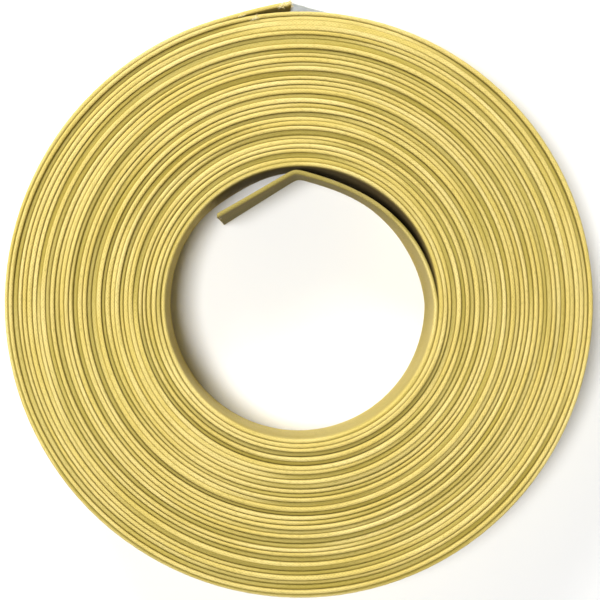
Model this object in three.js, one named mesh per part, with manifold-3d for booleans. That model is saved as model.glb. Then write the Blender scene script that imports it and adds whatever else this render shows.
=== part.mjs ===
// A roll of lay-flat fire hose, lying on one of its two coiled edges.
//
// The hose is a woven jacket round a thin rubber lining. Pressed flat it is a band, and the band is
// wound on edge into a tight spiral round an open hole. The innermost lap has sprung loose from the
// coil, and ends past a crease in a short straight tail with a bare cut end. The outermost lap lifts
// off the roll at its own bare cut end, where a strip of tape holds it down.
//
// Millimetres, +Z up. The origin is in the plane that the roll lies on, under the middle of its box.
// A winding angle is in degrees, clockwise as seen from above, from +Y. It grows outwards.

import * as THREE from "three";
import { mergeVertices } from "three/addons/utils/BufferGeometryUtils.js";
import Module from "manifold-3d";

const wasm = await Module();
wasm.setup();

// ---- the flat hose ----
const FLAT_WIDTH = 66;
const PITCH = 2.87; // from one turn to the same face of the next
const TURN_GAP = 0.14;
const FLAT_THICKNESS = PITCH - TURN_GAP;
const JACKET_WALL = 0.9;
const JACKET_FOLD = 1.3; // jacket thickness at the two folded edges
const LINING_CLEARANCE = 0.1;

// ---- the coil ----
const FULL_TURN = 360;
const HOLE_RADIUS = 84; // inner face of the first turn, at the lap's root
const LAP_ROOT = 90; // winding angle where the loose lap leaves the coil
const WHOLE_TURNS = 34;
const COIL_END = 358 + WHOLE_TURNS * FULL_TURN;
const FACETS_PER_TURN = 20;
const FACET = FULL_TURN / FACETS_PER_TURN;
const RIDGE_HEIGHT = 0.6; // the turns step over the crease below them
const RIDGE_SPREAD = 40; // degrees
const LIFT_START = COIL_END - 14; // where the outer lap begins to rise off the roll
const LIFT_HEIGHT = 4;
const LIFT_POWER = 1.6;
const LIFT_FACETS = 3; // the lifted end has this many facets in place of one
const TURNS_PER_STRETCH = 7; // the coil's jacket is divided into stretches of so many turns
const STRETCH_SETBACK = 0.15;
const WINDING_AXIS = new THREE.Vector3(0.7, -2.9, 0); // the lifted end makes the roll longer towards +Y

// ---- the loose lap ----
const CREASE = -2.6; // winding angle of the crease
const LAP_SLACK = 12.5; // how far the lap would leave the coil if it didn't bend back
const LAP_BEND_POWER = 4;
const CREASE_GAP = 1.5; // between the crease and the coil
const LAP_STEP = 10;

// ---- the straight tail ----
const TAIL_LENGTH = 55;
const TAIL_HEADING = 209.6; // degrees, anticlockwise from +X
const TAIL_LEAN = 4; // how far the lower edge of the cut end stands in towards the hole
const TAIL_CELLS = 6; // the leaning tail's faces are split this many times each way

// ---- clearances at the two flexing places ----
const ROOT_SETBACK = 0.4;
const CREASE_SETBACK = 1.3;

// ---- the tape on the outer cut end ----
const TAPE_WIDTH = 48;
const TAPE_THICKNESS = 0.3;
const TAPE_OVERLAP_FACETS = 2; // the fine facets of the lifted end that it covers
const TAPE_LANDING = 0.34; // it touches the turn below this share along the first facet past the cut end
const TAPE_END = 0.95; // and ends this share along the same facet
const TAPE_CLEARANCE = 0.15;

const CUT_MARGIN = 2; // how far a cutting shape runs past the piece it cuts
const SAME_POINT = 1e-4; // corners this near one another are one corner
const SAME_ANGLE = 1e-6; // a last step shorter than this share of a step is left out

const rad = THREE.MathUtils.degToRad;

// ---------------------------------------------------------------- the wound path

// The height of the ridge that the crease makes in the turns round it. It fades outwards.
function ridge(winding) {
  const away = THREE.MathUtils.euclideanModulo(winding - CREASE + FULL_TURN / 2, FULL_TURN) - FULL_TURN / 2;
  const fade = 1 - Math.max(0, winding) / COIL_END;
  return RIDGE_HEIGHT * fade * Math.exp(-((away / RIDGE_SPREAD) ** 2));
}

// How far the loose lap stands in from where a tight turn would be.
function slack(winding) {
  if (winding >= LAP_ROOT) return 0;
  const along = (LAP_ROOT - winding) / (LAP_ROOT - CREASE);
  const bent = along ** LAP_BEND_POWER;
  return LAP_SLACK * along * (1 - bent) + CREASE_GAP * bent;
}

// How far the outer lap has lifted off the roll.
function lift(winding) {
  if (winding <= LIFT_START) return 0;
  return LIFT_HEIGHT * ((winding - LIFT_START) / (COIL_END - LIFT_START)) ** LIFT_POWER;
}

// The radius of the hose's inner face.
function innerFace(winding) {
  const spiral = HOLE_RADIUS + (PITCH * (winding - LAP_ROOT)) / FULL_TURN;
  return spiral + ridge(winding) - slack(winding) + lift(winding);
}

function polar(radius, winding) {
  return new THREE.Vector2(Math.sin(rad(winding)), Math.cos(rad(winding))).multiplyScalar(radius);
}

// Winding angles from start to end, both included, a step apart.
function anglesBetween(start, end, step) {
  const count = Math.ceil((end - start) / step - SAME_ANGLE);
  return Array.from({ length: count + 1 }, (_, i) => Math.min(start + i * step, end));
}

// Every turn of the coil bends at the same angles, so that its facets nest. Only the lifted end is finer.
const lastNested = LAP_ROOT + FACET * Math.floor((LIFT_START - LAP_ROOT) / FACET);
const coilAngles = [
  ...anglesBetween(LAP_ROOT, lastNested, FACET),
  ...anglesBetween(lastNested, COIL_END, FACET / LIFT_FACETS).slice(1),
];
const lapAngles = [...anglesBetween(CREASE, LAP_ROOT - FACET, LAP_STEP), LAP_ROOT];

// A wound stretch of hose: the line at a given depth out from its inner face.
function woundLine(angles) {
  return (depth) => angles.map((winding) => polar(innerFace(winding) + depth, winding));
}

const creasePivot = polar(innerFace(CREASE) + FLAT_THICKNESS / 2, CREASE);
const tailDirection = new THREE.Vector2(Math.cos(rad(TAIL_HEADING)), Math.sin(rad(TAIL_HEADING)));
const tailInward = new THREE.Vector2(-tailDirection.y, tailDirection.x);

// The tail: the same kind of line, from its cut end to the crease.
function tailLine(depth) {
  const offset = tailInward.clone().multiplyScalar(FLAT_THICKNESS / 2 - depth);
  const creaseEnd = creasePivot.clone().add(offset);
  return Array.from({ length: TAIL_CELLS + 1 }, (_, i) =>
    creaseEnd.clone().addScaledVector(tailDirection, TAIL_LENGTH * (1 - i / TAIL_CELLS)),
  );
}

// ---------------------------------------------------------------- solids

// A line whose two ends are moved along it, outwards where the distance is positive.
function withEnds(line, atStart, atEnd) {
  const moved = line.map((point) => point.clone());
  const last = moved.length - 1;
  const startWay = line[0].clone().sub(line[1]).normalize();
  const endWay = line[last].clone().sub(line[last - 1]).normalize();
  moved[0].addScaledVector(startWay, atStart);
  moved[last].addScaledVector(endWay, atEnd);
  return moved;
}

// The flat band between two lines, standing from one height to another.
function band(innerLine, outerLine, bottom, top, steps = 1) {
  const outline = new THREE.Shape([...innerLine, ...outerLine.slice().reverse()]);
  const geometry = new THREE.ExtrudeGeometry(outline, { depth: top - bottom, steps, bevelEnabled: false });
  return geometry.translate(0, 0, bottom);
}

function toSolid(geometry) {
  const bare = geometry.clone();
  bare.deleteAttribute("normal");
  bare.deleteAttribute("uv");
  const merged = mergeVertices(bare, SAME_POINT);
  return new wasm.Manifold(
    new wasm.Mesh({
      numProp: 3,
      vertProperties: merged.attributes.position.array,
      triVerts: new Uint32Array(merged.index.array),
    }),
  );
}

function toGeometry(solid) {
  const { vertProperties, triVerts } = solid.getMesh();
  const geometry = new THREE.BufferGeometry();
  geometry.setAttribute("position", new THREE.BufferAttribute(vertProperties, 3));
  geometry.setIndex(new THREE.BufferAttribute(triVerts, 1));
  return geometry;
}

// Each stretch runs from its inner end to its outer end, cut back where it meets its neighbour.
// A layer of it is a band with the same inset on both faces, another at both folded edges, and its
// ends run on by a margin.
function stretchOfHose(lineAt, startSetback, endSetback, steps = 1, posed = (geometry) => geometry) {
  return (faceInset, edgeInset, margin) => {
    const lineAtDepth = (depth) => withEnds(lineAt(depth), margin - startSetback, margin - endSetback);
    const inner = lineAtDepth(faceInset);
    const outer = lineAtDepth(FLAT_THICKNESS - faceInset);
    return posed(band(inner, outer, edgeInset, FLAT_WIDTH - edgeInset, steps));
  };
}

function jacketOf(layer) {
  const outside = toSolid(layer(0, 0, 0));
  const hollow = toSolid(layer(JACKET_WALL, JACKET_FOLD, CUT_MARGIN));
  return toGeometry(outside.subtract(hollow));
}

function liningOf(layer) {
  return layer(JACKET_WALL + LINING_CLEARANCE, JACKET_FOLD + LINING_CLEARANCE, 0);
}

// The tail stands upright at the crease and leans more and more towards its cut end.
function leaned(geometry) {
  const positions = geometry.attributes.position;
  for (let i = 0; i < positions.count; i += 1) {
    const point = new THREE.Vector2(positions.getX(i), positions.getY(i));
    const along = point.clone().sub(creasePivot).dot(tailDirection) / TAIL_LENGTH;
    const below = 1 - positions.getZ(i) / FLAT_WIDTH;
    point.addScaledVector(tailInward, TAIL_LEAN * along * below);
    positions.setXY(i, point.x, point.y);
  }
  return geometry;
}

// The tape lies on the lifted lap, crosses the step at the cut end, and lies on the turn below.
function tapeStrip() {
  const hoseFace = FLAT_THICKNESS + TAPE_CLEARANCE;
  const onLap = coilAngles.slice(-1 - TAPE_OVERLAP_FACETS);
  const facetStart = coilAngles.find((winding) => winding > COIL_END - FULL_TURN);
  const lineAt = (depth) => {
    const above = (winding) => polar(innerFace(winding) + hoseFace + depth, winding);
    const onFacet = (share) => above(facetStart).lerp(above(facetStart + FACET), share);
    return [...onLap.map(above), onFacet(TAPE_LANDING), onFacet(TAPE_END)];
  };
  const bottom = (FLAT_WIDTH - TAPE_WIDTH) / 2;
  return band(lineAt(0), lineAt(TAPE_THICKNESS), bottom, bottom + TAPE_WIDTH);
}

// ---------------------------------------------------------------- materials

const jacketCloth = new THREE.MeshStandardMaterial({ color: 0xe3cf6c, roughness: 0.85, metalness: 0 });
const rubberLining = new THREE.MeshStandardMaterial({ color: 0x2a2624, roughness: 0.7, metalness: 0 });
const greyTape = new THREE.MeshStandardMaterial({ color: 0x9aa3a6, roughness: 0.45, metalness: 0 });

function named(name, geometry, material) {
  const mesh = new THREE.Mesh(geometry, material);
  mesh.name = name;
  return mesh;
}

// ---------------------------------------------------------------- assembly

// The coil's lining is one piece. Its jacket is divided, so that no stretch has too many turns to split
// into simple collision shapes.
const stretchBounds = anglesBetween(LAP_ROOT, COIL_END, TURNS_PER_STRETCH * FULL_TURN);
const coilStretches = stretchBounds.slice(1).map((outerBound, i) => {
  const angles = coilAngles.filter((winding) => winding >= stretchBounds[i] && winding <= outerBound);
  const startSetback = i === 0 ? ROOT_SETBACK : STRETCH_SETBACK;
  const endSetback = outerBound === COIL_END ? 0 : STRETCH_SETBACK;
  return stretchOfHose(woundLine(angles), startSetback, endSetback);
});
const coil = stretchOfHose(woundLine(coilAngles), ROOT_SETBACK, 0);
const lap = stretchOfHose(woundLine(lapAngles), CREASE_SETBACK, ROOT_SETBACK);
const tail = stretchOfHose(tailLine, 0, CREASE_SETBACK, TAIL_CELLS, leaned);

const roll = new THREE.Group();
roll.position.copy(WINDING_AXIS);
roll.add(
  ...coilStretches.map((stretch, i) => named(`coil_jacket_${i + 1}`, jacketOf(stretch), jacketCloth)),
  named("coil_lining", liningOf(coil), rubberLining),
  named("lap_jacket", jacketOf(lap), jacketCloth),
  named("lap_lining", liningOf(lap), rubberLining),
  named("tail_jacket", jacketOf(tail), jacketCloth),
  named("tail_lining", liningOf(tail), rubberLining),
  named("end_tape", tapeStrip(), greyTape),
);

export default roll;
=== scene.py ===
# The looks of a roll of lay-flat fire hose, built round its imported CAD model.
#
# Metres, in the row's frame: the roll lies on z = 0 round an upright winding axis. A winding angle is in
# degrees, clockwise as seen from above, from +Y, and it grows outwards along the hose.
import math

import bpy
import numpy as np
from mathutils import Matrix, Vector


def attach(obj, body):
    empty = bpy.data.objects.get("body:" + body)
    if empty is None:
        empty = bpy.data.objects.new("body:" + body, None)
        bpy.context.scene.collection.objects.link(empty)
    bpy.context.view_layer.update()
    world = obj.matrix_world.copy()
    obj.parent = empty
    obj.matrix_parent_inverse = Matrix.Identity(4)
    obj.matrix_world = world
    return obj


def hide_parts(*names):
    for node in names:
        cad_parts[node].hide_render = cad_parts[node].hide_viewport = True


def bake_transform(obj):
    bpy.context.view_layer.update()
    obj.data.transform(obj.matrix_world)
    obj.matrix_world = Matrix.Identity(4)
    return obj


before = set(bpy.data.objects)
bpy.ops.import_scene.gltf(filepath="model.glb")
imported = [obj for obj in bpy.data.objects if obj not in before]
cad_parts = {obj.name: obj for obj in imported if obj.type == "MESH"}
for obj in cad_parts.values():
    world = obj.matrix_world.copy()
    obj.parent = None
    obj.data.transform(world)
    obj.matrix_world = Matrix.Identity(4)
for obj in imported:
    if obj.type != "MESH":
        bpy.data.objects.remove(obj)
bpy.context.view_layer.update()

MM = 0.001

# ---- the flat hose, as in the CAD ----
FLAT_WIDTH = 66 * MM
PITCH = 2.87 * MM
TURN_GAP = 0.14 * MM
FLAT_THICKNESS = PITCH - TURN_GAP

# ---- the wound path, as in the CAD ----
FULL_TURN = 360.0
AXIS = np.array([0.7, -2.9]) * MM
HOLE_RADIUS = 84 * MM
LAP_ROOT = 90.0
COIL_END = 358.0 + 34 * FULL_TURN
TURNS_PER_STRETCH = 7
RIDGE_HEIGHT = 0.6 * MM
RIDGE_SPREAD = 40.0
LIFT_START = COIL_END - 14.0
LIFT_HEIGHT = 4 * MM
LIFT_POWER = 1.6
CREASE = -2.6
LAP_SLACK = 12.5 * MM
LAP_BEND_POWER = 4
CREASE_GAP = 1.5 * MM
TAIL_LENGTH = 55 * MM
TAIL_HEADING = math.radians(209.6)

# ---- what the woven hose does beyond the CAD's plain band ----
STAGGER = 2.2 * MM  # the turns stand at slightly different heights, by up to this
CLOTH_WIDTH = FLAT_WIDTH - STAGGER  # so that the highest turn ends at the roll's full height
LOW_SIDE, LOW_SIDE_BIAS = 70.0, 0.4  # more of the turns stand low on this side of the roll
HEIGHT_CONTRAST = 1.4  # above 1, more of the turns stand at the very top of the stagger
GROOVE_CONTRAST = 1.5  # above 1, more of the grooves are as deep as they can be
PACKED_FROM, PACKED_OVER = 60.0, 40.0  # along this stretch the loose lap comes to lie against the next turn
EDGE_SWAY = 0.34 * MM  # how far the line between two turns sways at the folded edges
FACE_SWAY = 0.12 * MM  # and between the edges
LOOSE_SLIMMING = 0.3 * MM  # the faces of the loose lap lie closer together than its folded edges
SHALLOW_GROOVE, DEEP_GROOVE = 0.7 * MM, 2.0 * MM  # between the folded edges of neighbouring turns
FOLD_LEAN = 0.3 * MM
FACE_LEVEL = 9 * MM  # the folded edges' sway has died out at this height from them
CREASE_ROUNDING = 2.4 * MM
RECESS_SHADE_DEPTH = 2.6 * MM  # painted shade darkens what lies up to this far below the neighbouring turns

# ---- how far the hose's foot stands further in than its top ----
TAIL_TIP_LEAN = 1.2 * MM
CREASE_LEAN = -1.4 * MM
CREASE_SLANT = 3.5 * MM  # the crease's foot lies this much further along the hose
LAP_LEAN = -2.0 * MM
LAP_LEANS_MOST, LAP_LEAN_FADES = 28.0, 42.0
FIRST_TURN_LEANS = ((330.0, 26.0, 2.0 * MM), (390.0, 34.0, 3.0 * MM))  # centre, reach, amount

# ---- painted shade on the cloth: the inner end, the hole's wall, and darkest on the part of it that the loose lap hides ----
SHADED_END_LENGTH, END_SHADE_FADES = 0.07, 0.12
WALL_SHADE = 0.27
RIM_SHADE_SHARE = 0.7  # share of the inner end's painted shade that the folded edges take
HIDDEN_CENTRE, HIDDEN_REACH = 383.0, 55.0

# ---- the inner cut end: the inner layer and the upper edge stick out a little further ----
CUT_SHEAR = 0.8 * MM
CUT_SLANT = 1.3 * MM
CUT_REACH = 16 * MM

# ---- where three outer turns are pressed into one smooth band ----
PRESSED_ANGLE, PRESSED_SPREAD = 8.0, 24.0
PRESSED_FIRST, PRESSED_LAST = 31, 33  # turns, counted from the crease
PRESSED_GROOVE = 0.08 * MM
PRESSED_HEIGHT = 0.8  # share of the stagger

# ---- how finely the hose is drawn ----
TURN_STEP = 3.0
ROUTE_STEP = 0.25  # for the table of distances along the hose
LAP_STEP = 1.0
TAIL_STEP = 1 * MM
TAIL_FINENESS = 4  # the tail's line is worked out at this many points for one station
FOLD_POINTS = 9
INNER_SHARE = 3  # an inner surface has one point for so many of the outer surface
INNER_STEP = 2  # and one station for so many

# ---- layers: share of the half thickness, and the distance in from the folded edges ----
JACKET_OUTSIDE = (1.0, 0.0)
JACKET_INSIDE = (0.34, 1.3 * MM)
LINING_OUTSIDE = (0.29, 1.4 * MM)
LINING_INSIDE = (0.08, 1.8 * MM)

# ---- where the visual pieces meet ----
COIL_SEAM = 100.0  # just outside the lap's root, where nothing flexes
LAP_SEAM = 45.0  # in the middle of the lap, which moves as one

# ---- tape ----
TAPE_WIDTH = 48 * MM
TAPE_THICKNESS = 0.22 * MM
TAPE_STAND_OFF = 0.2 * MM
TAPE_ON_LAP = 11.0
TAPE_LANDING = 8.5  # past the cut end, where it reaches the turn below
TAPE_END = 18.5
TAPE_LAP_POINTS, TAPE_TURN_POINTS = 16, 14
TAPE_STATIONS, TAPE_LEVELS = 97, 13
TAPE_RUFFLE = 0.35 * MM
TAPE_EDGE_WANDER = 0.5 * MM

# ---- frayed yarns: how many, and the longest ----
OUTER_YARNS = (110, 2.8 * MM)
FLARED_YARNS, FLARE = (70, 2.6 * MM), 1.6
INNER_YARNS = (34, 1.6 * MM)
TUFTS = (  # winding angle, place across the hose, how many, the longest
    (COIL_END - 1.1, -0.6 * MM, 30, 2.6 * MM),
    (COIL_END - 1.7, -1.5 * MM, 18, 2.2 * MM),
    (COIL_END - 9.6, -0.9 * MM, 18, 2.2 * MM),
    (COIL_END - FULL_TURN - 7.2, -0.6 * MM, 32, 2.4 * MM),
)
YARN_SIDES, YARN_RINGS, YARN_TAPER = 5, 7, 0.75

# ---- studio: lights as place, size and watts ----
KEY_LIGHT = ((-0.6, 1.55, 0.95), 0.8, 32)
OVERHEAD_LIGHT = ((-0.55, -0.1, 2.6), 0.7, 70)
CAMERA_PLACE = (AXIS[0] - 0.0229, AXIS[1] + 0.011, 1.064)
CAMERA_TARGET = (AXIS[0] - 0.0007, AXIS[1] + 0.0027, FLAT_WIDTH)
LENS_LENGTH, SENSOR_WIDTH = 95.5, 36
NEAREST_SEEN = 0.01
FLOOR_REACH = 3.0
WALL_LIGHT, CEILING_LIGHT, CEILING_BEGINS = 0.9, 0.06, 0.5


# ---------------------------------------------------------------- random but repeatable functions


def wavering(seed, spacing, low, high):
    """A smooth random function of the winding angle, with a new value every `spacing` degrees."""
    first = -FULL_TURN
    count = int((COIL_END + 3 * FULL_TURN - first) / spacing) + 2
    values = np.random.default_rng(seed).uniform(low, high, count)

    def at(winding):
        place = (np.asarray(winding, float) - first) / spacing
        knot = np.floor(place).astype(int)
        share = smooth(place - knot)
        return values[knot] * (1 - share) + values[knot + 1] * share

    return at


def smooth(share):
    share = np.clip(share, 0, 1)
    return share * share * (3 - 2 * share)


# ---------------------------------------------------------------- the path


def ridge(winding):
    away = (winding - CREASE + FULL_TURN / 2) % FULL_TURN - FULL_TURN / 2
    fade = 1 - np.maximum(0, winding) / COIL_END
    return RIDGE_HEIGHT * fade * np.exp(-((away / RIDGE_SPREAD) ** 2))


def slack(winding):
    along = np.maximum(0, (LAP_ROOT - winding) / (LAP_ROOT - CREASE))
    bent = along**LAP_BEND_POWER
    return LAP_SLACK * along * (1 - bent) + CREASE_GAP * bent


def lift(winding):
    along = np.maximum(0, (winding - LIFT_START) / (COIL_END - LIFT_START))
    return LIFT_HEIGHT * along**LIFT_POWER


def inner_face(winding):
    spiral = HOLE_RADIUS + PITCH * (winding - LAP_ROOT) / FULL_TURN
    return spiral + ridge(winding) - slack(winding) + lift(winding)


def polar(radius, winding):
    angle = np.radians(winding)
    return AXIS + np.stack([radius * np.sin(angle), radius * np.cos(angle)], axis=-1)


def middle(winding):
    """The middle of the hose's thickness."""
    winding = np.asarray(winding, float)
    return polar(inner_face(winding) + FLAT_THICKNESS / 2, winding)


def outward_of(tangent):
    """The level unit vector across the hose, away from the hole."""
    across = np.stack([-tangent[..., 1], tangent[..., 0]], axis=-1)
    return across / np.linalg.norm(across, axis=-1, keepdims=True)


ROUTE_GRID = np.arange(CREASE, COIL_END + 1, ROUTE_STEP)
ROUTE_STEPS = np.linalg.norm(np.diff(middle(ROUTE_GRID), axis=0), axis=1)
ROUTE_LENGTHS = TAIL_LENGTH + np.concatenate([[0], np.cumsum(ROUTE_STEPS)])


def distance(winding):
    """Metres along the hose from its inner cut end."""
    return np.interp(winding, ROUTE_GRID, ROUTE_LENGTHS)


def lean_of(winding):
    """How far the foot stands further in than the top: the loose lap leans out, and the turn behind it in."""
    past_most = 1 - smooth((winding - LAP_LEANS_MOST) / LAP_LEAN_FADES)
    before_most = smooth((LAP_LEANS_MOST - winding) / (LAP_LEANS_MOST - CREASE))
    lean = LAP_LEAN * past_most + (CREASE_LEAN - LAP_LEAN) * before_most
    for centre, reach, amount in FIRST_TURN_LEANS:
        lean = lean + amount * (1 - smooth(np.abs(winding - centre) / reach))
    return lean


class Path:
    """Stations along the hose, each with its winding angle, the middle of the hose's thickness at the height
    of its top and of its foot, the outward vector, and the distance from the inner cut end."""

    def __init__(self, winding, tops, feet, outward, along):
        self.parts = winding, tops, feet, outward, along
        self.winding, self.tops, self.feet, self.outward, self.along = self.parts

    def every(self, step):
        return Path(*(part[::step] for part in self.parts))


def even_stations(start, end, step):
    """Winding angles from start to end, an even number of equal steps."""
    count = INNER_STEP * math.ceil((end - start) / (INNER_STEP * step))
    return np.linspace(start, end, count + 1)


def wound_path(winding):
    nudge = 0.05
    outward = outward_of(middle(winding + nudge) - middle(winding - nudge))
    tops = middle(winding)
    return Path(winding, tops, tops - outward * lean_of(winding)[:, None], outward, distance(winding))


def tail_path():
    """From the inner cut end, along the straight tail and round the crease, to the seam in the lap."""
    end = distance(LAP_SEAM)
    count = INNER_STEP * math.ceil(end / (INNER_STEP * TAIL_STEP))
    along = np.linspace(0, end, count * TAIL_FINENESS + 1)
    before_crease = np.clip((TAIL_LENGTH - along) / TAIL_LENGTH, 0, 1)
    angles = np.where(
        along < TAIL_LENGTH,
        CREASE - np.degrees((TAIL_LENGTH - along) / HOLE_RADIUS),
        np.interp(along, ROUTE_LENGTHS, ROUTE_GRID),
    )
    tops, feet = creased_line(along, 0), creased_line(along, CREASE_SLANT)
    outward = outward_of(np.gradient(tops, axis=0))
    lean = lean_of(np.maximum(angles, CREASE)) + (TAIL_TIP_LEAN - CREASE_LEAN) * before_crease
    feet = feet - outward * lean[:, None]
    return Path(angles, tops, feet, outward, along).every(TAIL_FINENESS)


def creased_line(along, slant):
    """The tail's and the lap's line at one height, where the crease lies a slant's length into the lap."""
    crease_along = TAIL_LENGTH + slant
    heading = np.array([math.cos(TAIL_HEADING), math.sin(TAIL_HEADING)])
    on_lap = middle(np.interp(np.maximum(along, crease_along), ROUTE_LENGTHS, ROUTE_GRID))
    points = on_lap + heading * np.maximum(crease_along - along, 0)[:, None]
    return rounded_crease(points, along, crease_along)


def rounded_crease(points, along, crease_along):
    """The line with its sharp bend rounded: a running mean near the crease, and the line itself elsewhere."""
    step = along[1] - along[0]
    window, nearby = 4 * CREASE_ROUNDING, 5 * CREASE_ROUNDING
    reach = int(window / step)
    offsets = np.arange(-reach, reach + 1)
    weights = np.exp(-((offsets * step / CREASE_ROUNDING) ** 2) / 2)
    weights /= weights.sum()
    padded = np.pad(points, ((reach, reach), (0, 0)), mode="reflect", reflect_type="odd")
    mean = np.stack([np.convolve(padded[:, k], weights, mode="valid") for k in (0, 1)], axis=1)
    near = np.exp(-(((along - crease_along) / nearby) ** 4))[:, None]
    return points * (1 - near) + mean * near


# ---------------------------------------------------------------- the hose's section

# The line between one turn and the next, at five levels: upper edge, three on the face, lower edge.
LEVEL_SWAY = (EDGE_SWAY, FACE_SWAY, FACE_SWAY, FACE_SWAY, EDGE_SWAY)
ON_FACE = np.array([0, 1, 1, 1, 0])
BOUNDARIES = [
    wavering(seed=11 + k, spacing=47 + 9 * k, low=-sway, high=sway) for k, sway in enumerate(LEVEL_SWAY)
]
BOUNDARY_RIPPLE = wavering(seed=31, spacing=9, low=-0.05 * MM, high=0.05 * MM)
HEIGHT_DRIFT = wavering(seed=41, spacing=83, low=0, high=1)
HEIGHT_RIPPLE = wavering(seed=43, spacing=13, low=-0.12 * MM, high=0.12 * MM)
SQUARENESS = wavering(seed=47, spacing=61, low=0.65, high=1.05)
LEANING = wavering(seed=53, spacing=67, low=-FOLD_LEAN, high=FOLD_LEAN)
UPPER_GROOVES = wavering(seed=59, spacing=71, low=0, high=1)
LOWER_GROOVES = wavering(seed=61, spacing=71, low=0, high=1)


def pressed(winding, first=PRESSED_FIRST):
    """1 where the outer turns, from the first, are pressed together into one smooth band, 0 elsewhere."""
    turn = np.round((winding - PRESSED_ANGLE) / FULL_TURN)
    away = (winding - PRESSED_ANGLE - turn * FULL_TURN) / PRESSED_SPREAD
    return np.exp(-(away**4)) * ((turn >= first) & (turn <= PRESSED_LAST))


def groove(winding, depths):
    """How deep the groove is between the turn at this winding angle and the turn inside it."""
    deep = smooth(depths(winding) * GROOVE_CONTRAST)
    depth = SHALLOW_GROOVE + (DEEP_GROOVE - SHALLOW_GROOVE) * deep
    return depth + (PRESSED_GROOVE - depth) * pressed(winding, PRESSED_FIRST + 1)


def boundary(winding):
    ripple = BOUNDARY_RIPPLE(winding)
    return np.stack([at(winding) + ripple for at in BOUNDARIES], axis=1)


def faces_of(path):
    """The hose's inner and outer face at each station and level, measured outwards from its middle."""
    packed = smooth((path.winding - PACKED_FROM) / PACKED_OVER)[:, None]
    here = boundary(path.winding)
    there = boundary(path.winding + FULL_TURN)
    slim = ON_FACE * LOOSE_SLIMMING / 2 * (1 - packed)
    half = FLAT_THICKNESS / 2 - slim
    return here - half, there * packed + here * (1 - packed) + half


def foot_of(path):
    """How high the hose's lower edge stands."""
    return STAGGER * height_share(path.winding)


def height_share(winding):
    """0 where the hose stands on the floor, 1 where it is at its highest, as most turns are."""
    low_side = (1 + np.cos(np.radians(winding - LOW_SIDE))) / 2
    drift = smooth(HEIGHT_CONTRAST * HEIGHT_DRIFT(winding) - LOW_SIDE_BIAS * low_side)
    flush = pressed(winding)
    return np.clip(drift * (1 - flush) + PRESSED_HEIGHT * flush + HEIGHT_RIPPLE(winding) / STAGGER, 0, 1)


def section(path, layer):
    """One layer's closed line at each station: metres outwards from the middle, and height."""
    share, inset = layer
    face_in, face_out = faces_of(path)
    centre, half = (face_in + face_out) / 2, (face_out - face_in) / 2 * share
    bottom = foot_of(path)[:, None] + inset
    top = bottom + CLOTH_WIDTH - 2 * inset
    turn = np.radians(np.linspace(0, 180, FOLD_POINTS))
    power = SQUARENESS(path.winding)[:, None]
    sideways = np.sign(np.cos(turn)) * np.abs(np.cos(turn)) ** power
    drop = (1 - np.abs(np.sin(turn)) ** power) * (share + 1) / 2
    lean = LEANING(path.winding)[:, None] * share * np.sin(turn) ** 2
    upper_x = centre[:, :1] + half[:, :1] * sideways + lean
    lower_x = centre[:, 4:] - half[:, 4:] * sideways + lean
    outer_side = np.cos(turn) > 0
    upper_z = top - drop * np.where(outer_side, *grooves_beside(path, UPPER_GROOVES))
    lower_z = bottom + drop * np.where(outer_side, *grooves_beside(path, LOWER_GROOVES)[::-1])
    levels = np.concatenate([top - FACE_LEVEL, (top + bottom) / 2, bottom + FACE_LEVEL], axis=1)
    inner_x, outer_x = (centre - half)[:, 1:4], (centre + half)[:, 3:0:-1]
    x = np.concatenate([upper_x, inner_x, lower_x, outer_x], axis=1)
    z = np.concatenate([upper_z, levels, lower_z, levels[:, ::-1]], axis=1)
    return x, z


def grooves_beside(path, depths):
    """The grooves on the outer and on the inner side. A loose lap has a rounder edge on its free sides."""
    outer = groove(path.winding + FULL_TURN, depths)[:, None]
    inner = groove(path.winding, depths)[:, None]
    return outer, inner


def placed(path, x, z):
    """The section's points in space."""
    height = (z / FLAT_WIDTH)[:, :, None]
    level = path.tops[:, None, :] * height + path.feet[:, None, :] * (1 - height)
    onward = np.stack([path.outward[:, 1], -path.outward[:, 0]], axis=1)
    uneven = CUT_SHEAR * 2 * x / FLAT_THICKNESS + CUT_SLANT * (1 - 2 * z / FLAT_WIDTH)
    shift = uneven * (1 - smooth(path.along / CUT_REACH))[:, None]
    level = level + path.outward[:, None, :] * x[:, :, None] + onward[:, None, :] * shift[:, :, None]
    return np.concatenate([level, z[:, :, None]], axis=2)


def recess_shade_of(path, x, z):
    """For each point near a folded edge, how deep it lies below the neighbouring turns, as the share of
    painted shade that it gets: 0 to 1. A side that no turn covers gets none."""
    covered_outside = (path.winding > LAP_SEAM) & (path.winding < COIL_END - FULL_TURN)
    covered_inside = path.winding > LAP_ROOT + FULL_TURN
    covered = np.where(x > 0, covered_outside[:, None], covered_inside[:, None])
    around = [height_share(path.winding + step) for step in (-FULL_TURN, 0, FULL_TURN)]
    highest, lowest = np.max(around, axis=0)[:, None], np.min(around, axis=0)[:, None]
    from_top = STAGGER * highest + CLOTH_WIDTH - z
    from_foot = z - STAGGER * lowest
    depth = np.minimum(from_top, from_foot)
    return covered * np.clip(depth / RECESS_SHADE_DEPTH, 0, 1) * (1 - smooth((depth - RECESS_SHADE_DEPTH) / RECESS_SHADE_DEPTH))


def end_and_wall_shade_of(path, x, z):
    """For each point, how much painted shade darkens the cloth: 0 to 1. The inner end gets most, its folded
    edges a little less, and the hole's wall a little between its folded edges."""
    on_face = smooth(np.minimum(z, FLAT_WIDTH - z) / FACE_LEVEL)
    inner_end = 1 - smooth((path.along - SHADED_END_LENGTH) / END_SHADE_FADES)
    end_shade = inner_end[:, None] * (RIM_SHADE_SHARE + (1 - RIM_SHADE_SHARE) * on_face)
    return np.maximum(end_shade, WALL_SHADE * on_face * (x < 0))


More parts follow.
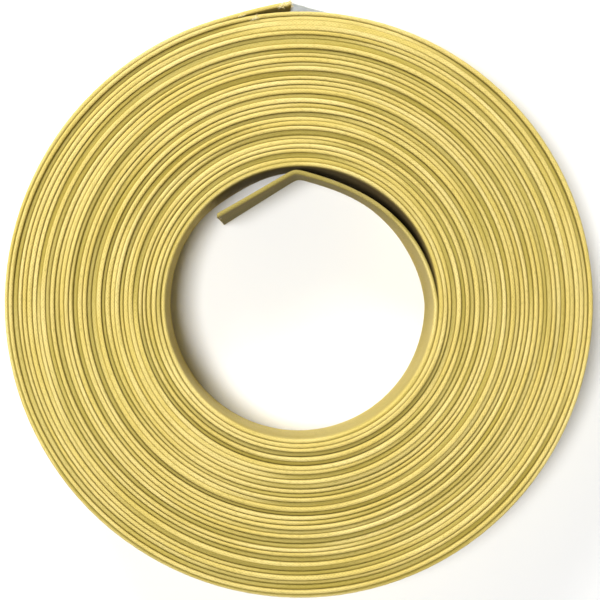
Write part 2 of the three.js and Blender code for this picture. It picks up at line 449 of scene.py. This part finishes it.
def lap_shadow_of(path, x, z):
    """For each point, how much painted shade it gets where the loose lap hides the wall below its rim: 0 to
    1.
    """
    below_rim = smooth((FLAT_WIDTH - z) / FACE_LEVEL)
    hidden = np.exp(-(((path.winding - HIDDEN_CENTRE) / HIDDEN_REACH) ** 4))
    return hidden[:, None] * below_rim * (x < 0)


# ---------------------------------------------------------------- meshes


def skin_faces(first, stations, points, inward=False):
    """The four-sided faces between neighbouring closed lines of points, numbered from `first`."""
    i, j = np.meshgrid(np.arange(stations - 1), np.arange(points), indexing="ij")
    after = (j + 1) % points
    here, onward = i * points, (i + 1) * points
    faces = np.stack([here + j, here + after, onward + after, onward + j], axis=2)
    if inward:
        faces = faces[:, :, ::-1]
    return faces.reshape(-1, 4) + first


def skin_uv(path, around, inward=False):
    """For each corner of skin_faces: metres along the hose, and metres round it."""
    i, j = np.meshgrid(np.arange(len(path.along) - 1), np.arange(len(around) - 1), indexing="ij")
    u = np.stack([path.along[i], path.along[i], path.along[i + 1], path.along[i + 1]], axis=2)
    v = np.stack([around[j], around[j + 1], around[j + 1], around[j]], axis=2)
    uv = np.stack([u, v], axis=3)
    if inward:
        uv = uv[:, :, ::-1]
    return uv.reshape(-1, 2)


def rim_faces(outer, inner, backward):
    """The ring between an outer and a coarser inner closed line, as one face for each inner point."""
    share = len(outer) // len(inner)
    faces = []
    for k in range(len(inner)):
        after = (k + 1) % len(inner)
        face = [outer[(share * k + m) % len(outer)] for m in range(share + 1)] + [inner[after], inner[k]]
        faces.append(face[::-1] if backward else face)
    return faces


def around_of(x, z):
    """Metres round a closed line, from its first point back to it."""
    points = np.stack([x, z], axis=1)
    steps = np.linalg.norm(np.diff(np.concatenate([points, points[:1]]), axis=0), axis=1)
    return np.concatenate([[0], np.cumsum(steps)])


def point_uv(path, around):
    """For each point of a skin: metres along the hose, and metres round it."""
    return np.stack(np.broadcast_arrays(path.along[:, None], around[None, :-1]), axis=2).reshape(-1, 2)


def tube(name, path, outside, inside, material, fine=True):
    """A hollow stretch of hose or lining: an outer and an inner skin, joined by a rim at both cut ends. The
    outer skin is finer than the inner one if `fine`. Gives the piece, and the way round its wall's middle."""
    inner_path = path.every(INNER_STEP) if fine else path
    outer_share = 1 if fine else INNER_SHARE
    outer_x, outer_z = (a[:, ::outer_share] for a in section(path, outside))
    inner_x, inner_z = (a[:, ::INNER_SHARE] for a in section(inner_path, inside))
    outer = placed(path, outer_x, outer_z)
    inner = placed(inner_path, inner_x, inner_z)
    stations, points = outer.shape[:2]
    inner_stations, inner_points = inner.shape[:2]
    first_inner = stations * points
    total = first_inner + inner_stations * inner_points
    rims = [
        (np.arange(points), first_inner + np.arange(inner_points)),
        (np.arange(first_inner - points, first_inner), np.arange(total - inner_points, total)),
    ]
    outer_faces = skin_faces(0, stations, points)
    inner_faces = skin_faces(first_inner, inner_stations, inner_points, inward=True)
    ends = rim_faces(*rims[0], backward=True) + rim_faces(*rims[1], backward=False)

    mesh = bpy.data.meshes.new(name)
    vertices = np.concatenate([outer.reshape(-1, 3), inner.reshape(-1, 3)])
    mesh.from_pydata(vertices.tolist(), [], outer_faces.tolist() + inner_faces.tolist() + ends)

    outer_around = around_of(outer_x[0], outer_z[0])
    inner_around = around_of(inner_x[0], inner_z[0])
    cloth_width = (outer_around[-1] + inner_around[-1]) / 2
    inner_around *= outer_around[-1] / inner_around[-1]
    all_points = np.concatenate([point_uv(path, outer_around), point_uv(inner_path, inner_around)])
    end_uv = all_points[[corner for face in ends for corner in face]]
    uv = np.concatenate([skin_uv(path, outer_around), skin_uv(inner_path, inner_around, True), end_uv])
    mesh.uv_layers.new(name="Hose").data.foreach_set("uv", uv.astype(np.float32).ravel())

    ring_of = np.zeros(total, int)
    for k, ring in enumerate([*rims[0], *rims[1]]):
        ring_of[ring] = k + 1
    shade_smooth(mesh, ring_of)
    # these three measures are painted shade, kept on the outer skin's points for the cloth's material
    for attribute, measure in (("RecessShade", recess_shade_of), ("EndWallShade", end_and_wall_shade_of), ("LapShadow", lap_shadow_of)):
        values = np.zeros(total, np.float32)
        values[:first_inner] = measure(path, outer_x, outer_z).ravel()
        mesh.attributes.new(attribute, "FLOAT", "POINT").data.foreach_set("value", values)
    return linked(name, mesh, material), cloth_width


def shade_smooth(mesh, ring_of):
    """Smooth shading, but sharp along each ring of the numbered points."""
    ends = np.zeros(len(mesh.edges) * 2, np.int32)
    mesh.edges.foreach_get("vertices", ends)
    ends = ends.reshape(-1, 2)
    sharp = (ring_of[ends[:, 0]] > 0) & (ring_of[ends[:, 0]] == ring_of[ends[:, 1]])
    mesh.attributes.new("sharp_edge", "BOOLEAN", "EDGE").data.foreach_set("value", sharp)
    mesh.polygons.foreach_set("use_smooth", np.ones(len(mesh.polygons), bool))
    mesh.update()


def linked(name, mesh, material):
    mesh.materials.append(material)
    piece = bpy.data.objects.new(name, mesh)
    bpy.context.scene.collection.objects.link(piece)
    return piece


# ---------------------------------------------------------------- material nodes


class Nodes:
    """A material's node tree, with short ways to add to it."""

    def __init__(self, name):
        self.material = bpy.data.materials.new(name)
        self.material.use_nodes = True
        self.tree = self.material.node_tree
        self.shader = self.tree.nodes["Principled BSDF"]

    def add(self, kind, **settings):
        node = self.tree.nodes.new(kind)
        for key, value in settings.items():
            setattr(node, key, value)
        return node

    def feed(self, socket, value):
        if isinstance(value, bpy.types.NodeSocket):
            self.tree.links.new(value, socket)
        else:
            socket.default_value = value

    def math(self, operation, first, second=0.0):
        node = self.add("ShaderNodeMath", operation=operation)
        self.feed(node.inputs[0], first)
        self.feed(node.inputs[1], second)
        return node.outputs[0]

    def spread(self, value, low, high, to_low=0.0, to_high=1.0):
        """The value's range from low to high, stretched to another and clamped."""
        node = self.add("ShaderNodeMapRange", interpolation_type="SMOOTHSTEP")
        for socket, number in zip(node.inputs[:5], (value, low, high, to_low, to_high)):
            self.feed(socket, number)
        return node.outputs[0]

    def mix(self, share, first, second):
        node = self.add("ShaderNodeMix", data_type="RGBA")
        self.feed(node.inputs[0], share)
        self.feed(node.inputs[6], first)
        self.feed(node.inputs[7], second)
        return node.outputs[2]

    def noise(self, vector, scale, detail=2.0, roughness=0.5):
        node = self.add("ShaderNodeTexNoise")
        self.feed(node.inputs["Vector"], vector)
        self.feed(node.inputs["Scale"], scale)
        self.feed(node.inputs["Detail"], detail)
        self.feed(node.inputs["Roughness"], roughness)
        return node.outputs["Fac"]

    def stretched(self, along, around, along_scale, around_scale):
        """The place on the hose, with its own scale along the hose and round it."""
        node = self.add("ShaderNodeCombineXYZ")
        self.feed(node.inputs[0], self.math("MULTIPLY", along, along_scale))
        self.feed(node.inputs[1], self.math("MULTIPLY", around, around_scale))
        return node.outputs[0]

    def hose_noise(self, along, around, along_scale, around_scale, detail=2.0, roughness=0.5):
        return self.noise(self.stretched(along, around, along_scale, around_scale), 1.0, detail, roughness)

    def bump(self, height, depth, strength):
        node = self.add("ShaderNodeBump")
        self.feed(node.inputs["Height"], height)
        self.feed(node.inputs["Distance"], depth)
        self.feed(node.inputs["Strength"], strength)
        return node.outputs[0]

    def hose_map(self):
        """Metres along the hose and metres round it."""
        uv = self.add("ShaderNodeUVMap", uv_map="Hose")
        split = self.add("ShaderNodeSeparateXYZ")
        self.feed(split.inputs[0], uv.outputs[0])
        return split.outputs[0], split.outputs[1]


def jacket_material():
    """Plain-woven polyester: warp yarns along the hose and thicker weft yarns round it, dyed straw yellow."""
    weft_pitch, warp_pitch = 1.15 * MM, 0.85 * MM
    # The two shares and the last two of the dark colours are painted shade: they darken the inner end and the
    # hole's wall, and the wall that the loose lap hides.
    end_wall_shade_share, lap_shadow_share = 0.93, 0.85
    pale, straw = (0.76, 0.62, 0.235, 1), (0.64, 0.50, 0.135, 1)
    olive, end_wall_shade_colour, lap_shadow_colour = (0.25, 0.20, 0.022, 1), (0.09, 0.075, 0.017, 1), (0.09, 0.045, 0.024, 1)
    nodes = Nodes("jacket_cloth")
    along, around = nodes.hose_map()

    weft = nodes.math("SINE", nodes.math("MULTIPLY", along, math.pi / weft_pitch))
    warp = nodes.math("SINE", nodes.math("MULTIPLY", around, math.pi / warp_pitch))
    over = nodes.math("MULTIPLY", weft, warp)
    weave = nodes.spread(over, -0.9, 0.9)

    drift = nodes.hose_noise(along, around, 9.0, 14.0, detail=3)
    mottle = nodes.hose_noise(along, around, 420.0, 800.0)
    streak = nodes.hose_noise(along, around, 30.0, 900.0)
    colour = nodes.mix(nodes.spread(drift, 0.36, 0.66), straw, pale)
    colour = nodes.mix(nodes.spread(streak, 0.5, 0.8, 0.0, 0.35), colour, olive)
    colour = nodes.mix(nodes.spread(mottle, 0.45, 0.8, 0.0, 0.4), colour, olive)
    colour = nodes.mix(nodes.spread(weave, 0.0, 0.5, 0.34, 0.0), colour, olive)
    # painted shade: folded edges that lie below their neighbours are darkened towards olive
    recess_shade = nodes.add("ShaderNodeAttribute", attribute_name="RecessShade").outputs["Fac"]
    colour = nodes.mix(nodes.spread(recess_shade, 0.08, 0.8, 0.0, 0.6), colour, olive)
    # painted shade: the inner end and the hole's wall are darkened, in patches
    end_wall_shade = nodes.add("ShaderNodeAttribute", attribute_name="EndWallShade").outputs["Fac"]
    patchy = nodes.math("MULTIPLY", end_wall_shade, nodes.spread(drift, 0.2, 0.7, 0.7, 1.0))
    colour = nodes.mix(nodes.math("MULTIPLY", patchy, end_wall_shade_share), colour, end_wall_shade_colour)
    # painted shade: the wall that the loose lap hides is darkened to a reddish brown
    lap_shadow = nodes.add("ShaderNodeAttribute", attribute_name="LapShadow").outputs["Fac"]
    colour = nodes.mix(nodes.math("MULTIPLY", lap_shadow, lap_shadow_share), colour, lap_shadow_colour)

    fibre = nodes.hose_noise(along, around, 3500.0, 1500.0)
    relief = nodes.math("ADD", weave, nodes.math("MULTIPLY", fibre, 0.35))
    shader = nodes.shader.inputs
    nodes.feed(shader["Base Color"], colour)
    nodes.feed(shader["Normal"], nodes.bump(relief, depth=0.07 * MM, strength=0.7))
    nodes.feed(shader["Roughness"], nodes.spread(weave, 0.0, 1.0, 0.86, 0.7))
    shader["Specular IOR Level"].default_value = 0.12
    shader["Sheen Weight"].default_value = 0.04
    shader["Sheen Roughness"].default_value = 0.4
    shader["Sheen Tint"].default_value = (1.0, 0.85, 0.4, 1)
    return nodes.material


def yarn_material():
    """Loose yarn ends, paler than the cloth because the light gets between their fibres."""
    straw, bleached = (0.80, 0.66, 0.26, 1), (0.93, 0.87, 0.62, 1)
    nodes = Nodes("loose_yarn")
    place = nodes.add("ShaderNodeTexCoord").outputs["Object"]
    tint = nodes.noise(place, scale=260.0)
    fibre = nodes.noise(place, scale=6000.0)
    colour = nodes.mix(nodes.spread(tint, 0.4, 0.62), straw, bleached)
    shader = nodes.shader.inputs
    nodes.feed(shader["Base Color"], colour)
    nodes.feed(shader["Normal"], nodes.bump(fibre, depth=0.05 * MM, strength=0.7))
    shader["Roughness"].default_value = 0.85
    shader["Sheen Weight"].default_value = 0.25
    shader["Specular IOR Level"].default_value = 0.2
    return nodes.material


def lining_material():
    """Thin black rubber with a little bloom on it."""
    black, bloomed = (0.022, 0.02, 0.018, 1), (0.06, 0.055, 0.05, 1)
    nodes = Nodes("rubber_lining")
    along, around = nodes.hose_map()
    place = nodes.stretched(along, around, 90.0, 160.0)
    bloom = nodes.noise(place, scale=1.0, detail=4)
    pores = nodes.noise(place, scale=14.0, detail=3)
    shader = nodes.shader.inputs
    colour = nodes.mix(nodes.spread(bloom, 0.45, 0.75), black, bloomed)
    nodes.feed(shader["Base Color"], colour)
    nodes.feed(shader["Roughness"], nodes.spread(bloom, 0.4, 0.7, 0.5, 0.75))
    nodes.feed(shader["Normal"], nodes.bump(pores, depth=0.05 * MM, strength=0.5))
    return nodes.material


def tape_material():
    """Satin grey tape, its film stretched over fine threads and slightly wrinkled."""
    grey, scuffed = (0.31, 0.35, 0.35, 1), (0.21, 0.24, 0.25, 1)
    nodes = Nodes("grey_tape")
    along, around = nodes.hose_map()
    thread_pitch = 1.6 * MM
    threads = nodes.math("SINE", nodes.math("MULTIPLY", around, 2 * math.pi / thread_pitch))
    creases = nodes.hose_noise(along, around, 260.0, 60.0, detail=3)
    scuffs = nodes.hose_noise(along, around, 70.0, 300.0, detail=5, roughness=0.65)
    relief = nodes.math("ADD", nodes.math("MULTIPLY", threads, 0.12), creases)
    shader = nodes.shader.inputs
    colour = nodes.mix(nodes.spread(scuffs, 0.4, 0.75), grey, scuffed)
    nodes.feed(shader["Base Color"], colour)
    nodes.feed(shader["Roughness"], nodes.spread(scuffs, 0.35, 0.7, 0.34, 0.55))
    nodes.feed(shader["Normal"], nodes.bump(relief, depth=0.12 * MM, strength=0.6))
    shader["Specular IOR Level"].default_value = 0.5
    shader["Subsurface Weight"].default_value = 0.9
    shader["Subsurface Scale"].default_value = 3 * MM
    shader["Subsurface Radius"].default_value = (1.0, 1.0, 1.0)
    return nodes.material


def floor_material():
    pale, paler = (0.87, 0.87, 0.87, 1), (0.89, 0.89, 0.885, 1)
    nodes = Nodes("floor")
    place = nodes.add("ShaderNodeTexCoord").outputs["Object"]
    grain = nodes.noise(place, scale=3.0, detail=3)
    colour = nodes.mix(nodes.spread(grain, 0.3, 0.7), pale, paler)
    nodes.feed(nodes.shader.inputs["Base Color"], colour)
    nodes.shader.inputs["Roughness"].default_value = 0.7
    nodes.shader.inputs["Specular IOR Level"].default_value = 0.2
    return nodes.material


JACKET = jacket_material()
YARN = yarn_material()
LINING = lining_material()
TAPE = tape_material()


# ---------------------------------------------------------------- the wound coil

BOUNDS = np.append(np.arange(LAP_ROOT, COIL_END, TURNS_PER_STRETCH * FULL_TURN), COIL_END)
STRETCHES = [
    even_stations(max(COIL_SEAM, inner), outer, TURN_STEP) for inner, outer in zip(BOUNDS[:-1], BOUNDS[1:])
]


def make_coil():
    for k, winding in enumerate(STRETCHES):
        name = f"coil_hose_{k + 1}"
        path = wound_path(winding)
        piece, cloth_width = tube(name, path, JACKET_OUTSIDE, JACKET_INSIDE, JACKET)
        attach(piece, "coil")
        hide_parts(f"coil_jacket_{k + 1}")


def make_coil_lining():
    path = wound_path(np.unique(np.concatenate([winding[::INNER_STEP] for winding in STRETCHES])))
    piece, _ = tube("coil_inner_tube", path, LINING_OUTSIDE, LINING_INSIDE, LINING, fine=False)
    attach(piece, "coil")
    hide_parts("coil_lining")


# ---------------------------------------------------------------- the loose lap and the tail


def make_loose(part, path):
    """A stretch of jacket and the lining in it."""
    hose, cloth_width = tube(f"{part}_hose", path, JACKET_OUTSIDE, JACKET_INSIDE, JACKET)
    inner_tube, _ = tube(f"{part}_inner_tube", path, LINING_OUTSIDE, LINING_INSIDE, LINING)
    for piece in (hose, inner_tube):
        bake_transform(piece)
    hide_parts(f"{part}_jacket")
    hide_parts(f"{part}_lining")


# ---------------------------------------------------------------- the tape


def make_tape():
    """Lies on the lifted lap, spans the step at the cut end, and lies on the turn below."""
    stuck = TAPE_STAND_OFF + FLAT_THICKNESS / 2 + TAPE_THICKNESS / 2 + FACE_SWAY
    on_lap = np.linspace(COIL_END - TAPE_ON_LAP, COIL_END, TAPE_LAP_POINTS)
    below = COIL_END - FULL_TURN
    on_turn = np.linspace(below + TAPE_LANDING, below + TAPE_END, TAPE_TURN_POINTS)
    nudge = 0.1
    corners = np.array(
        [middle(w) + outward_of(middle(w + nudge) - middle(w - nudge)) * stuck for w in (*on_lap, *on_turn)]
    )
    along = np.concatenate([[0], np.cumsum(np.linalg.norm(np.diff(corners, axis=0), axis=1))])
    stations = np.linspace(0, along[-1], TAPE_STATIONS)
    points = np.stack([np.interp(stations, along, corners[:, k]) for k in (0, 1)], axis=1)
    points = softened(points, times=3)
    outward = outward_of(np.gradient(points, axis=0))

    heights = np.linspace(-1, 1, TAPE_LEVELS) * TAPE_WIDTH / 2
    rng = np.random.default_rng(71)
    ruffle = softened(rng.normal(0, TAPE_RUFFLE, (len(stations), len(heights))), times=5)
    span = (stations > along[TAPE_LAP_POINTS - 1]) & (stations < along[TAPE_LAP_POINTS])
    free = softened(span.astype(float)[:, None], times=4)
    edge_wander = softened(rng.normal(0, TAPE_EDGE_WANDER, (len(stations), 1)), times=4)
    z = FLAT_WIDTH / 2 + heights[None, :] + edge_wander
    middle_line = points[:, None, :] + outward[:, None, :] * (ruffle * free)[:, :, None]
    half = outward[:, None, :] * TAPE_THICKNESS / 2
    outer = np.concatenate([middle_line + half, z[:, :, None]], axis=2)
    inner = np.concatenate([middle_line - half, z[:, :, None]], axis=2)[:, ::-1]
    rings = np.concatenate([outer, inner], axis=1)

    count = rings.shape[1]
    ends = [list(range(count))[::-1], list(range((len(stations) - 1) * count, len(stations) * count))]
    mesh = bpy.data.meshes.new("end_tape_strip")
    mesh.from_pydata(rings.reshape(-1, 3).tolist(), [], skin_faces(0, len(stations), count).tolist() + ends)
    around = np.concatenate([heights, heights[::-1]]) + TAPE_WIDTH
    point_uv = np.stack(np.broadcast_arrays(stations[:, None], around[None, :]), axis=2).reshape(-1, 2)
    corners_of = np.zeros(len(mesh.loops), np.int32)
    mesh.loops.foreach_get("vertex_index", corners_of)
    mesh.uv_layers.new(name="Hose").data.foreach_set("uv", point_uv[corners_of].astype(np.float32).ravel())
    column = np.tile(np.arange(count), len(stations))
    rim = np.isin(column, (0, len(heights) - 1, len(heights), count - 1))
    shade_smooth(mesh, np.where(rim, column + 1, 0))
    piece = linked("end_tape_strip", mesh, TAPE)
    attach(piece, "coil")
    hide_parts("end_tape")


def softened(values, times):
    """A running mean over neighbouring rows, done several times. The first and last rows stay."""
    values = values.copy()
    for _ in range(times):
        values[1:-1] = (values[:-2] + 2 * values[1:-1] + values[2:]) / 4
    return values


# ---------------------------------------------------------------- frayed yarns


def strand_rings(start, direction, length, radius, rng):
    """A loose yarn: rings of points along a line that starts one way and curls off another."""
    curl = rng.normal(0, 1, 3)
    curl -= direction * curl.dot(direction)
    curl /= np.linalg.norm(curl)
    bend = rng.uniform(0.3, 1.1)
    side = np.cross(direction, curl)
    points = []
    for share in np.linspace(0, 1, YARN_RINGS):
        centre = start + length * (direction * share + curl * bend * share**2 / 2)
        width = radius * (1 - YARN_TAPER * share**2)
        for turn in np.linspace(0, 2 * np.pi, YARN_SIDES, endpoint=False):
            points.append(centre + width * (curl * np.cos(turn) + side * np.sin(turn)))
    faces = []
    last_ring = (YARN_RINGS - 1) * YARN_SIDES
    for here in range(0, last_ring, YARN_SIDES):
        for k in range(YARN_SIDES):
            after = (k + 1) % YARN_SIDES
            onward = here + YARN_SIDES
            faces.append([here + k, here + after, onward + after, onward + k])
    faces.append(list(range(YARN_SIDES))[::-1])
    faces.append(list(range(last_ring, last_ring + YARN_SIDES)))
    return points, faces


def make_yarns(name, body, strands, rng):
    """strands is a list of (start, direction, length, radius)."""
    vertices, faces = [], []
    for start, direction, length, radius in strands:
        unit = direction / np.linalg.norm(direction)
        points, own = strand_rings(np.asarray(start), unit, length, radius, rng)
        faces += [[corner + len(vertices) for corner in face] for face in own]
        vertices += [p.tolist() for p in points]
    mesh = bpy.data.meshes.new(name)
    mesh.from_pydata(vertices, [], faces)
    mesh.polygons.foreach_set("use_smooth", np.ones(len(mesh.polygons), bool))
    piece = linked(name, mesh, YARN)
    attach(piece, body)


def rim_strands(path, station, forward, count, longest, rng, flare=0.0):
    """Yarns that stand out of a cut rim, along the hose and a little to all sides. With a flare they all grow
    from the outer wall, and turn outwards."""
    outward = path.outward[station]
    onward = np.array([outward[1], -outward[0]]) * forward
    face_in, face_out = faces_of(path)
    strands = []
    for _ in range(count):
        z = foot_of(path)[station] + CLOTH_WIDTH * rng.uniform(0.01, 0.99)
        wall = rng.uniform(0.45, 0.95) * (1 if flare else rng.choice([-1, 1]))
        height = z / FLAT_WIDTH
        point = path.tops[station] * height + path.feet[station] * (1 - height)
        x = wall * (face_out - face_in)[station, 2] / 2
        start = np.append(point + outward * x - onward * 0.4 * MM, z)
        direction = np.append(onward + flare * outward, 0) + rng.normal(0, 0.3, 3)
        strands.append((start, direction, rng.uniform(0.35, 1) * longest, rng.uniform(0.1, 0.2) * MM))
    return strands


def tuft_strands(winding, across, count, longest, rng):
    """A tuft of short curled yarns, loose on the hose's upper edge."""
    path = wound_path(np.array([winding]))
    outward = path.outward[0]
    onward = np.array([outward[1], -outward[0]])
    top = foot_of(path)[0] + CLOTH_WIDTH
    strands = []
    for _ in range(count):
        place = path.tops[0] + outward * (across + rng.normal(0, 0.5) * MM) + onward * rng.normal(0, 1.3) * MM
        start = np.append(place, top - rng.uniform(0.1, 0.6) * MM)
        direction = np.append(onward * rng.normal(0, 1) + outward * rng.normal(0, 0.8), rng.uniform(0.2, 0.9))
        strands.append((start, direction, rng.uniform(0.4, 1) * longest, rng.uniform(0.12, 0.22) * MM))
    return strands


def make_fray(coil_path, inner_path):
    rng = np.random.default_rng(5)
    outer_end = rim_strands(coil_path, -1, 1, *OUTER_YARNS, rng)
    outer_end += rim_strands(coil_path, -1, 1, *FLARED_YARNS, rng, flare=FLARE)
    for tuft in TUFTS:
        outer_end += tuft_strands(*tuft, rng)
    make_yarns("outer_end_fray", "coil", outer_end, rng)
    make_yarns("inner_end_fray", "tail", rim_strands(inner_path, 0, -1, *INNER_YARNS, rng), rng)


# ---------------------------------------------------------------- stage


def make_floor():
    mesh = bpy.data.meshes.new("floor")
    corners = [(x * FLOOR_REACH, y * FLOOR_REACH, 0) for x, y in ((-1, -1), (1, -1), (1, 1), (-1, 1))]
    mesh.from_pydata(corners, [], [(0, 1, 2, 3)])
    linked("floor", mesh, floor_material())


def aimed(kind, name, place, target):
    """A new light or camera at a place, looking at a target, with +Y up in its view."""
    thing = bpy.data.objects.new(name, kind)
    bpy.context.scene.collection.objects.link(thing)
    way = (Vector(target) - Vector(place)).normalized()
    side = way.cross(Vector((0, 1, 0))).normalized()
    up = side.cross(way)
    turn = Matrix((side, up, -way)).transposed().to_4x4()
    thing.matrix_world = Matrix.Translation(place) @ turn
    return thing


def make_light(name, place, size, power):
    light = bpy.data.lights.new(name, "AREA")
    light.shape = "SQUARE"
    light.size = size
    light.energy = power
    aimed(light, name, place, (0, 0, FLAT_WIDTH / 2))


def make_camera():
    data = bpy.data.cameras.new("camera")
    data.lens = LENS_LENGTH
    data.sensor_width = SENSOR_WIDTH
    data.clip_start = NEAREST_SEEN
    bpy.context.scene.camera = aimed(data, "camera", CAMERA_PLACE, CAMERA_TARGET)


def make_world():
    """White walls all round the studio, under a dim ceiling."""
    world = bpy.data.worlds.new("studio")
    world.use_nodes = True
    nodes = world.node_tree.nodes
    links = world.node_tree.links
    nodes["Background"].inputs["Color"].default_value = (1, 1, 1, 1)
    split = nodes.new("ShaderNodeSeparateXYZ")
    links.new(nodes.new("ShaderNodeTexCoord").outputs["Generated"], split.inputs[0])
    fade = nodes.new("ShaderNodeMapRange")
    fade.interpolation_type = "SMOOTHSTEP"
    for socket, number in zip(fade.inputs[1:5], (0.0, CEILING_BEGINS, WALL_LIGHT, CEILING_LIGHT)):
        socket.default_value = number
    links.new(split.outputs[2], fade.inputs[0])
    links.new(fade.outputs[0], nodes["Background"].inputs["Strength"])
    bpy.context.scene.world = world


def make_stage():
    make_floor()
    make_camera()
    make_light("key", *KEY_LIGHT)
    make_light("overhead", *OVERHEAD_LIGHT)
    make_world()
    bpy.context.scene.view_settings.view_transform = "Standard"


# ---------------------------------------------------------------- assembly

make_stage()
make_coil()
make_coil_lining()
make_loose("lap", wound_path(even_stations(LAP_SEAM, COIL_SEAM, LAP_STEP)))
make_loose("tail", tail_path())
make_tape()
make_fray(wound_path(STRETCHES[-1]), tail_path())
